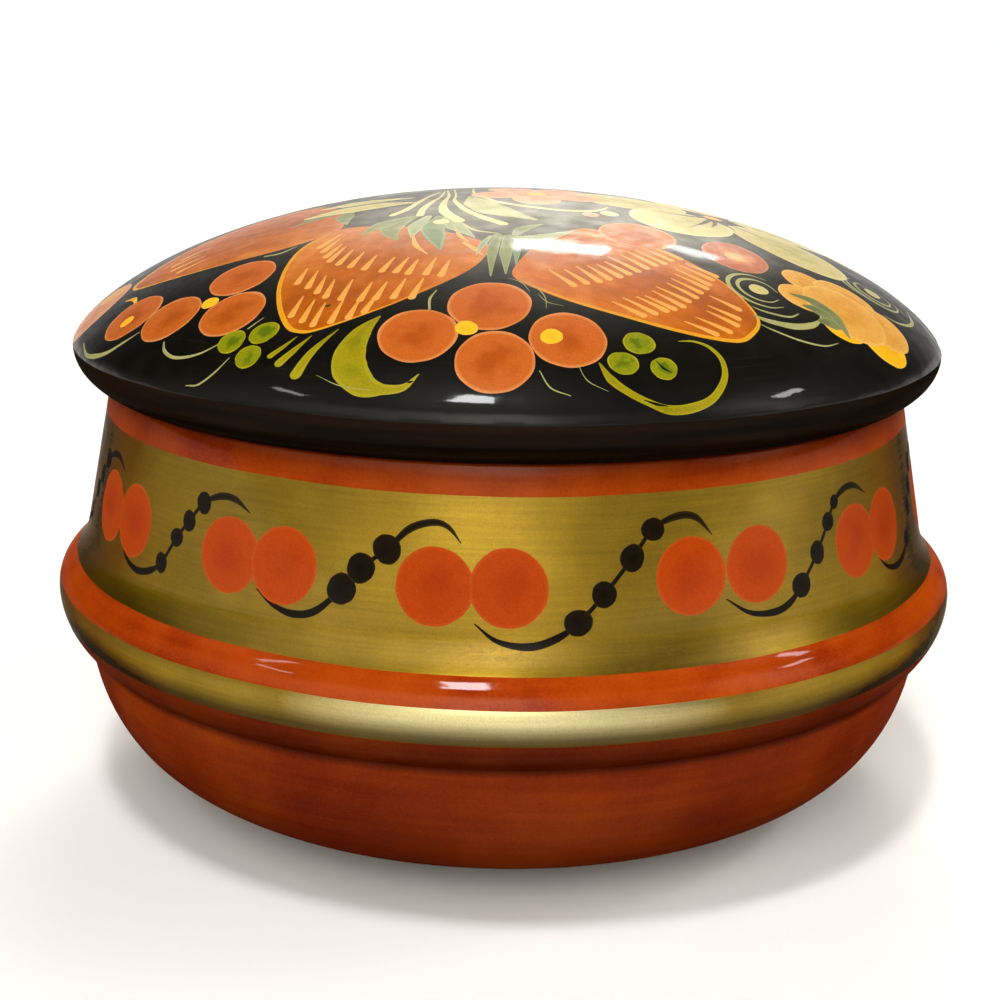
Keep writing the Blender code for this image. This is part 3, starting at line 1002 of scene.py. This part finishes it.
def spray():
    """Two strawberries with their leaves, four berries between them, and green dots and leaves below."""
    left_rows = [
        ([(-25.1, -26.9), (-22.7, -33.7), (-16.1, -38.3), (-8.6, -40.9)], 12, (240, 256)),
        ([(-27.3, -37.8), (-23.2, -42.8), (-19.3, -44.9), (-12.4, -45.8)], 9, (256, 252)),
        ([(-27.6, -45.6), (-24.9, -48.6), (-20.8, -48.8), (-18.3, -47.8)], 6, (252, 248)),
    ]
    right_rows = [
        ([(8, -43.2), (13.9, -39.7), (18.3, -35), (22.2, -31)], 12, (308, 325)),
        ([(16.4, -48.4), (21.6, -44.6), (24.6, -39.3), (26.8, -34.2)], 12, (328, 332)),
        ([(25.8, -49.1), (28.6, -46.4), (29.2, -42.2)], 5, (343, 340)),
    ]
    dabs = strawberry(-11.5, -24.5, 239, 29.4, 13.3, rows=left_rows)
    dabs += strawberry(3.4, -32, 330.8, 31.4, 11.3, full=(0.75, 0.6), rows=right_rows)
    for paint, line, widths in [
        (calyx_green, [(-12.8, -18.5), (-15.6, -22.5), (-15.8, -25.5), (-14.8, -28.6)],
         [1.0, 3.4, 2.4, 0.2]),
        (calyx_green, [(-13.2, -18.5), (-17, -21.2), (-19.8, -24.6)], [1.0, 3.2, 0.2]),
        (pale_leaf, [(-11, -19), (-12.4, -23.5), (-13, -28.2)], [1.0, 2.6, 0.2]),
        (pale_leaf, [(-8.6, -20), (-7.2, -24.5), (-4.6, -29.5)], [1.0, 2.8, 0.2]),
        (leaf_teal, [(-9.6, -19.5), (-10.2, -25), (-9.7, -29), (-9, -33.4)], [1.0, 3.2, 2.6, 0.2]),
        (seed_gold, [(-12.8, -26.6), (-12.3, -31), (-10.7, -34.4)], [0.1, 0.8, 0.2]),
        (seed_gold, [(-7.4, -24.6), (-6.6, -28.4), (-5.4, -31)], [0.1, 0.6, 0.2]),
        (seed_gold, [(-6, -31.2), (-4.7, -33.3), (-3.5, -35.6)], [0.5, 0.8, 0.1]),
        (calyx_green, [(-1.6, -28.5), (-2.3, -34), (-2.5, -41.6)], [1.2, 1.6, 0.2]),
        (calyx_green, [(-0.4, -29), (-0.6, -35), (-0.6, -41)], [1.2, 1.7, 0.2]),
        (leaf_teal, [(0.4, -30), (0.8, -34), (0.7, -38.4)], [0.6, 1.1, 0.1]),
        (pale_leaf, [(-2.6, -29), (-3.6, -32), (-4.4, -35.5)], [0.6, 1.0, 0.1]),
        (pale_leaf, [(0.6, -29.5), (4.4, -29), (8.4, -25.6)], [1.0, 2.8, 0.2]),
        (calyx_green, [(0.6, -28.6), (1.6, -26), (4.4, -23.4)], [0.8, 2.0, 0.2]),
        (curl_green, [(-9.2, -44.6), (-10, -46.6), (-10, -49)], [0.15, 0.35, 0.3]),
    ]:
        dabs.append(stroke(paint, line, widths))
    berries = [(-11.4, -53.7, 4.95), (-2.6, -48.4, 5.2), (-1.9, -58.9, 5.0), (7, -54.7, 4.9)]
    dabs += pads(pad_red, berries)
    dabs += pads(pad_yellow, [(-5.4, -53.1, 1.4), (5, -54.5, 1.4)], uneven=0.05)
    dabs += pads(pad_green, [(15.8, -54, 2.0), (13.8, -57.9, 1.9), (18.9, -57.6, 1.75)], uneven=0.04)
    crescent = [
        (-16.1, -49.3), (-18.3, -52), (-19.7, -55.3), (-19.7, -58.2), (-18, -61), (-15.6, -62.1),
        (-13, -62.2), (-11.1, -60.5),
    ]
    curl = [
        (10.8, -58.4), (12.3, -60.8), (14.6, -62.3), (17.4, -63.2), (19.9, -63.4), (22.8, -62.3),
        (25.3, -60.2), (26.7, -56.8), (26.4, -53.9), (24.8, -52.1), (22.8, -51.7), (20.8, -52.3),
    ]
    dabs += strokes(leaf_green, [
        (crescent, [0.2, 2.6, 4.1, 4.5, 3.4, 1.5, 1.0, 0.1]),
        (curl, [0.2, 1.2, 1.0, 0.95, 1.2, 1.2, 1.0, 0.85, 0.7, 0.55, 0.35, 0.1]),
        ([(-26.6, -50.4), (-28.3, -51.7), (-30, -52.7)], [0.1, 0.6, 0.9]),
        ([(-24.7, -50.9), (-26.8, -52.8), (-28.8, -54.4)], [0.1, 0.9, 1.3]),
        ([(-21.3, -50.7), (-24.6, -54), (-26.6, -57)], [0.1, 1.1, 1.6]),
    ])
    return dabs + strokes(curl_green, [
        ([(3.5, -60.4), (4.9, -62.9), (7.4, -63.8)], [0.1, 0.2, 0.1]),
        ([(1.2, -42.4), (3.2, -44.2), (4.3, -46.6), (4.4, -49)], [0.05, 0.18, 0.12, 0.05]),
    ])


def side_berries():
    """A row of four berries with green dots below, and the curls that hang from them."""
    berries = [(-51.8, -28.9, 4.7), (-45.2, -35.6, 4.6), (-35.4, -31.2, 4.7), (-35.9, -40.9, 4.65)]
    dots = [(-35.5, -47.5, 2.0), (-31.1, -47.8, 2.0), (-33.1, -51.5, 1.85)]
    dabs = pads(pad_red, berries)
    dabs += pads(pad_yellow, [(-52.6, -29.6, 1.1), (-39.4, -36.1, 1.3)], uneven=0.05)
    dabs += pads(pad_green, dots, uneven=0.04)
    return dabs + strokes(curl_green, [
        ([(-45.6, -41.1), (-45.4, -43.2), (-44.1, -45.4), (-42, -46.8), (-39.7, -47.4), (-37.4, -47.1)],
         [0.2, 0.45, 0.5, 0.5, 0.35, 0.2]),
        ([(-33.4, -46), (-31.3, -44.5)], [0.3, 0.1]),
        ([(-42.2, -51.6), (-40.2, -52.6), (-37.7, -52), (-35.6, -50.5)], [0.1, 0.3, 0.3, 0.1]),
        ([(-61.3, -24.6), (-60.4, -29), (-58.2, -32.3), (-55.4, -34.6), (-52.2, -35.3), (-49.9, -35.2)],
         [0.15, 0.5, 0.8, 0.7, 0.5, 0.15]),
    ])


def spirals():
    """Two spirals, each round a cream dot, and the curls that sweep past them."""
    dabs, curls = [], []
    for x, y, turn in [(32.5, -34.8, 0), (52, -16.2, 70)]:
        dabs.append(oval(cream, x, y, 1.35, uneven=0.06))
        for reach, start, end, wide in [(2.9, 20, 340, 0.6), (4.2, 70, 320, 0.65)]:
            bend = np.radians(np.linspace(start + turn, end + turn, 9))
            ring = np.stack([x + reach * np.cos(bend), y - 0.2 + reach * np.sin(bend)], axis=1)
            curls.append((ring.tolist(), [0.1, wide, wide * 0.8, 0.1]))
    curls += [
        ([(31, -40.3), (33, -40.6), (36.2, -39.9), (37.8, -38)], [0.1, 0.4, 0.4, 0.15]),
        ([(31.2, -42.3), (33, -42.7), (36.6, -41.9), (39.4, -39.8), (41.2, -37)],
         [0.3, 0.9, 1.3, 1.1, 0.2]),
        ([(31.6, -44), (33.7, -44.5), (37.3, -44.6), (40.9, -43.5), (43.2, -41.3)],
         [0.1, 0.3, 0.4, 0.3, 0.1]),
        ([(58.6, -13), (58.6, -17.6), (57.3, -21.2), (54.8, -23.9), (52.2, -24.6)],
         [0.2, 0.6, 0.6, 0.5, 0.1]),
        ([(47, -13), (46.6, -16.5), (48.2, -19.6), (51, -20.9)], [0.2, 0.5, 0.5, 0.1]),
    ]
    return dabs + strokes(curl_green, curls)


def ochre_flower():
    """A flower of ochre pads, two deep yellow ones at its foot, and three leaves across its corner."""
    petals = [
        (40.2, -26.3, 3.5), (46.2, -26.3, 4.8), (51, -30, 4.9), (39, -32.5, 3.5), (45.4, -31.5, 6.4),
    ]
    leaves = [
        [(37, -32.8), (40.4, -32.6), (43.2, -34.6), (45.2, -38.6)],
        [(38.6, -35), (41.2, -34.9), (43.4, -36.4)],
        [(40.6, -37.8), (42.4, -37), (44.4, -37)],
    ]
    dabs = pads(deep_yellow, [(50.9, -34.6, 4.1), (44.3, -36.4, 3.3)]) + pads(ochre, petals)
    return dabs + strokes(calyx_green, [(leaf, [0.4, 2.2, 2.6, 0.3]) for leaf in leaves])


def crown():
    """The cream flower, and the peach one on the top with the cream curls that sweep round it."""
    dabs = flower(cream, 29.5, -3, [102, 29, 176], 12.5, 8.4, 7.0)
    dabs += pads(cream, [(24, -12, 8.4, 7.0, 58), (39.6, -11.4, 9.6, 7.2, -42)])
    # Its stamens, which start a little way out from its middle and bow to one side
    middle = (29.5, -3.5)
    begun = 0.15
    for tip in [(24.8, -15.3), (28.4, -11.5), (32, -10), (36.5, -9), (22, -8), (34, 2), (26, 4)]:
        start = [middle[k] + (tip[k] - middle[k]) * begun for k in (0, 1)]
        bow = ((start[0] + tip[0]) / 2 + 0.4, (start[1] + tip[1]) / 2)
        dabs.append(stroke(stamen_brown, [start, bow, tip], [0.9, 0.6, 0.1]))
    dabs.append(oval(pad_yellow, 29.6, -2.2, 1.4))
    dabs += flower(peach, 3.8, -2.8, five_petals, 5.6, 3.9, 3.5)
    dabs += [oval(peach, 3.8, -2.8, 4.0), oval(pad_yellow, 3.8, -2.8, 1.5)]
    leaf = [(-5.5, -6), (-4.2, -12), (-1.8, -17), (3.5, -21.5)]
    dabs.append(stroke(curl_green, leaf, [0.5, 4.5, 5.0, 0.5]))
    sweep = [
        (-5.2, 6), (-5.2, 0), (-4.7, -5), (-3.3, -8.2), (-1.5, -11.4), (1.4, -13.6), (4.6, -15),
        (7.4, -15.5), (10.3, -15), (12.4, -13.4), (13.7, -10.4),
    ]
    dabs += strokes(cream, [
        (sweep, [0.1, 0.5, 0.7, 0.9, 0.9, 0.8, 0.1]),
        ([(-8, 4), (-7.6, -5), (-7.75, -8.6), (-7.2, -12.1), (-6, -16.4), (-3.6, -20.7), (-0.9, -23.8)],
         [0.2, 0.4, 0.7, 1.0, 1.4]),
        ([(-9, 3), (-8.6, -5), (-9, -9.3), (-9.2, -13.9), (-8.6, -17.9), (-6.8, -22)],
         [0.2, 0.5, 0.9, 1.5, 1.6]),
        ([(-9.3, 2), (-9.7, -5), (-10.8, -9.6), (-11.9, -14.3), (-12.2, -18)], [0.2, 0.5, 0.9, 1.1]),
        ([(-10, 1), (-11.6, -5), (-14, -13.2), (-16, -16.5)], [0.2, 0.6, 1.0, 1.1]),
        ([(-6.5, -22.9), (-4.7, -26.4), (-1.5, -27.9)], [0.2, 0.5, 0.1]),
        ([(-13, -9), (-17, -8.6), (-22, -8.4), (-28.5, -9.6)], [0.3, 3.4, 5.4, 1.0]),
        ([(-13.5, -4.5), (-18, -3.6), (-23, -3.2), (-27, -3.4)], [0.3, 2.6, 4.2, 0.6]),
    ])
    dabs += [oval(cream, 13.7, -14.9, 1.3), oval(peach, 11, -16.7, 1.2), oval(cream, -9.2, -22.1, 1.1)]
    dabs.append(stroke(calyx_green, [(-14, -6.6), (-19, -6), (-25, -6.2)], [0.2, 1.2, 0.3]))
    return dabs


def carried_round(dabs, angle):
    """Dabs painted once more, further round the lid by this angle."""
    c, s = math.cos(math.radians(angle)), math.sin(math.radians(angle))
    spin = np.array([[c, s], [-s, c]])

    def carried(dab):
        outlines = [outline @ spin for outline in dab.outlines]
        return Dab(dab.paint, outlines, lambda spots: dab.local(spots @ spin.T), dab.anchor)

    return [carried(dab) for dab in dabs]


def lid_ornament():
    """The whole lid, from the black outwards: what is painted last comes last."""
    tip_seeds = [([(-46, -19), (-48, -15), (-46.6, -11.6)], 4, (196, 190))]
    dabs = strawberry(-23.5, -9, 193, 31.2, 13.5, rows=tip_seeds)
    dabs += strokes(calyx_green, [
        ([(-22, -9), (-22.8, -14), (-22.2, -18.5)], [0.5, 2.8, 0.2]),
        ([(-21.5, -8.5), (-26, -10.5), (-30.5, -14)], [0.5, 2.8, 0.2]),
    ])
    dabs += [oval(peach, -60.5, -13.5, 5.6, 6.6, -20), oval(ochre, -58.3, -10.5, 2.2, 3.2, 20)]
    dabs.append(stroke(deep_yellow, [(-54.2, -20.6), (-52.6, -22), (-52, -24.6)], [0.3, 0.9, 0.3]))
    dabs.append(stroke(curl_green, [(-33, -25.6), (-30.7, -26), (-28.5, -24.6)], [0.4, 0.5, 0.2]))
    dabs += carried_round(spray(), 180)
    dabs += carried_round(side_berries(), -76)
    dabs += carried_round(ochre_flower(), 42)
    dabs += carried_round(side_berries(), 175)
    dabs += strokes(pale_leaf, [
        ([(-20, 24), (-14, 28), (-7, 28)], [0.4, 3.6, 0.3]),
        ([(-32, 20), (-37, 25), (-38, 31)], [0.4, 3.6, 0.3]),
        ([(-28, 12), (-34, 9), (-39, 10)], [0.4, 3.0, 0.3]),
        ([(-20, 12), (-14, 9), (-9, 10)], [0.4, 3.0, 0.3]),
    ])
    dabs += flower(peach, -26, 18.5, five_petals, 6.4, 4.6, 4.1)
    dabs += [oval(peach, -26, 18.5, 4.4), oval(pad_yellow, -26, 18.5, 1.7)]
    dabs += spray()
    dabs += side_berries()
    dabs.append(oval(pad_red, 17, -24.3, 5.2))
    dabs.append(oval(pink_red, 30.3, -24.9, 4.6, 5.5))
    dabs.append(oval(peach_light, 30.3, -25.2, 1.6, uneven=0.05))
    dabs += spirals() + ochre_flower() + crown()
    dabs.append(oval(stamen_brown, -22.9, -45.2, 0.35, uneven=0.2))
    hairs = [
        [(-0.4, -42), (1.4, -43.2), (2.4, -45.4)], [(3.4, -45.8), (4.6, -47.6), (6.6, -48.2)],
        [(8.2, -59), (9.4, -61.4), (12, -62.6)], [(-24, -58), (-21, -60.4), (-17, -62)],
    ]
    # Where the paint has been scratched through to the black
    scratches = [
        [(17.9, -56.6), (18.8, -57.6), (19.9, -58.1)], [(16.4, -62.9), (18, -63.1), (19.6, -63)],
        [(17.2, -62.5), (18.8, -62.7)], [(-12.6, -61.6), (-11.8, -61.5)],
    ]
    dabs += strokes(curl_green, [(hair, [0.04, 0.12, 0.04]) for hair in hairs])
    return dabs + strokes(lampblack, [(scratch, [0.1, 0.4, 0.1]) for scratch in scratches])


# The coats that the lid gets as it turns, under its ornament. Its chart is of millimetres along the
# outline from the top of the dome, seen from above.
rim_line = seat + rim_rise
lid_coats = [(lampblack, rim_line), (dull_black, (lid_bore_radius, seat)), (inner_red_brown, None)]
lid_turning = Turning(lid_outline(), lid_coats)


def lid_surface(x, y):
    """The azimuth and the distance along the outline of a place in the lid's chart."""
    return np.arctan2(x, -y), np.hypot(x, y) * mm


def lid_chart(azimuth, along, near):
    """Where a place on the lid lies in its chart. There is no seam, so near makes no difference."""
    return along * np.sin(azimuth) / mm, -along * np.cos(azimuth) / mm


lid_zone = 0, lid_turning.row(rim_line)
lid_skin = Skin(lid_turning, lid_zone)
lid_skin.paint_zone(lid_ornament(), lid_surface, lid_chart)
lid = lid_skin.as_piece("painted_lid")
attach(lid, "lid")
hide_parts("lid")


# The floor: one wide, pale, matt sheet that the box stands on. It lies a hair's breadth below the foot,
# so that the two surfaces don't share a plane, and it isn't part of the box.

floor_reach = 8.0
floor_depth = 0.05 * mm
floor_shape = bpy.data.meshes.new("floor")
angles = np.radians(range(0, 360, 5))
ring = [(floor_reach * math.cos(a), floor_reach * math.sin(a), -floor_depth) for a in angles]
floor_shape.from_pydata(ring, [], [range(len(ring))])
floor = bpy.data.objects.new("floor", floor_shape)
bpy.context.scene.collection.objects.link(floor)
# Matt white board: it looks white to the eye and in the lacquer, and throws back a greyer light
floor_board = bpy.data.materials.new("matt_white_board")
floor_board.use_nodes = True
tree = floor_board.node_tree
ray = add(tree, "LightPath").outputs
seen = add(tree, "Math", {0: ray["Is Camera Ray"], 1: ray["Is Glossy Ray"]})
seen = add(tree, "Math", {0: seen, 1: ray["Is Transmission Ray"]}, use_clamp=True)
white = add(tree, "Mix", {0: seen, 1: linear("#B4B2B0"), 2: linear("#F6F5F4")}, data_type="RGBA")
board_look = {"Base Color": white, "Roughness": 0.9, "Specular IOR Level": 0.1}
fill(tree, tree.nodes["Principled BSDF"], board_look)
floor_shape.materials.append(floor_board)


# The light: a large soft lamp in front, a smaller one at the right and one behind, which only shade the
# box, and the room that its lacquer mirrors: a pale wall behind, two soft windows, and strip lamps.

for name, azimuth, elevation, width, strength in [
    ("front_lamp", -8, 56, 36, 0.5),
    ("right_lamp", 95, 41, 24, 0.28),
    ("back_lamp", 174, 45, 24, 0.35),
]:
    lamp = bpy.data.lights.new(name, "SUN")
    lamp.energy = strength
    lamp.angle = math.radians(width)
    towards = Vector((0, -1, 0))
    towards.rotate(Euler((-math.radians(elevation), 0, math.radians(azimuth))))
    holder = bpy.data.objects.new(name, lamp)
    holder.rotation_euler = towards.to_track_quat("Z", "Y").to_euler()
    holder.visible_glossy = False
    bpy.context.scene.collection.objects.link(holder)

world = bpy.data.worlds.new("studio")
bpy.context.scene.world = world
world.use_nodes = True
sky = world.node_tree
direction = add(sky, "TexCoord").outputs["Generated"]
way = add(sky, "SeparateXYZ", {0: direction}).outputs
front = add(sky, "Math", {0: way["Y"], 1: -1.0}, operation="MULTIPLY")
seen_azimuth = add(sky, "Math", {0: way["X"], 1: front}, operation="ARCTAN2")

# The pale wall behind, which fades upwards. The floor's white goes on a little above the horizon on
# every side.
behind = add(sky, "MapRange", {0: way["Y"], 1: 0.7, 2: 0.95})
pale = add(sky, "ValToRGB", {0: way["Z"]}, stops=[(0.1, 1.0), (0.45, 0.2)])
wall = add(sky, "Math", {0: pale, 1: behind}, operation="MULTIPLY")
horizon = add(sky, "MapRange", {0: way["Z"], 1: 0.03, 2: 0.04, 3: 1.0, 4: 0.0})
wall = add(sky, "Math", {0: wall, 1: horizon}, operation="MAXIMUM")

# The windows in front: how bright the room is from its left to its right, in degrees from its middle,
# and from the floor up, by the height of the way there
room_side = 110
room_light = 5.4
warm_day = (1.0, 0.97, 0.88)
windows = [
    (-110, 0.0), (-89, 0.08), (-66, 0.14), (-44, 0.3), (-24, 0.4), (-12, 0.85), (-3, 1.0), (6, 0.85),
    (15, 0.3), (27, 0.1), (50, 0.03), (66, 0.35), (77, 0.5), (86, 0.2), (96, 0.02), (110, 0.0),
]
stops = [((azimuth + room_side) / (2 * room_side), level) for azimuth, level in windows]
sides = {0: seen_azimuth, 1: math.radians(-room_side), 2: math.radians(room_side)}
across = add(sky, "MapRange", sides)
row = add(sky, "ValToRGB", {0: across}, stops=[stops[0], stops[-1], *stops[1:-1]])
storeys = [(0.0, 0.14), (0.8, 0.02), (0.1, 0.19), (0.2, 0.7), (0.35, 1.0), (0.62, 1.0)]
storey = add(sky, "ValToRGB", {0: way["Z"]}, stops=storeys)
front_room = add(sky, "VectorMath", {0: row, 1: storey}, operation="MULTIPLY")
front_room = add(sky, "VectorMath", {0: front_room, "Scale": room_light}, operation="SCALE")
front_room = add(sky, "VectorMath", {0: front_room, 1: warm_day}, operation="MULTIPLY")

# A soft window high behind, whose bloom lies over the top of the dome
window_way = (0.05, 0.89, 0.454)
bloom_light = 5.0
warm_bloom = (1.0, 0.92, 0.72)
facing = add(sky, "VectorMath", {0: direction, 1: window_way}, operation="DOT_PRODUCT").outputs["Value"]
spread = {0: facing, 1: 0.95, 2: 0.995, 3: 0.0, 4: bloom_light}
bloom = add(sky, "MapRange", spread, interpolation_type="SMOOTHSTEP")
bloom = add(sky, "VectorMath", {0: bloom, 1: warm_bloom}, operation="MULTIPLY")
light = add(sky, "VectorMath", {0: bloom, 1: front_room}, operation="ADD")
light = add(sky, "VectorMath", {0: wall, 1: light}, operation="ADD")

# The strip lamps: azimuth and half a width, elevation and half a height, in degrees, and a level
for azimuth, wide, elevation, tall, level in [
    (-18, 11, 71.5, 3.8, 75), (-80, 8, 51, 1.0, 20), (94, 6, 41, 1.6, 32),
    (174.8, 4.3, 35.3, 2.0, 45), (165, 2.2, 28, 1.2, 25),
]:
    half_height = math.radians(tall) * math.cos(math.radians(elevation))
    beside = {0: seen_azimuth, 1: math.radians(azimuth), 2: math.radians(wide)}
    above = {0: way["Z"], 1: math.sin(math.radians(elevation)), 2: half_height}
    in_width = add(sky, "Math", beside, operation="COMPARE")
    in_height = add(sky, "Math", above, operation="COMPARE")
    on = add(sky, "Math", {0: in_width, 1: in_height}, operation="MULTIPLY")
    on = add(sky, "Math", {0: on, 1: level}, operation="MULTIPLY")
    light = add(sky, "VectorMath", {0: light, 1: on}, operation="ADD")
fill(sky, sky.nodes["Background"], {"Color": light})


# The camera, at the photograph's viewing angle: a phone held about 26 cm away, a little above the lid
# and a little askew.

scene = bpy.context.scene
camera = bpy.data.objects.new("camera", bpy.data.cameras.new("camera"))
scene.collection.objects.link(camera)
scene.camera = camera
place = Vector((-1.98, -257.4, 110.5)) * mm
yaw, pitch, roll = 0.005, 0.265, 0.0145  # radians
forward = Vector((math.sin(yaw) * math.cos(pitch), math.cos(yaw) * math.cos(pitch), -math.sin(pitch)))
sideways = Vector((math.cos(yaw), -math.sin(yaw), 0))
upright = sideways.cross(forward)
right = sideways * math.cos(roll) + upright * math.sin(roll)
up = upright * math.cos(roll) - sideways * math.sin(roll)
camera.matrix_world = Matrix.LocRotScale(place, Matrix((right, up, -forward)).transposed(), None)
camera.data.lens = 63.32
camera.data.sensor_width = 36
camera.data.clip_start = 0.01
scene.view_settings.view_transform = "Standard"
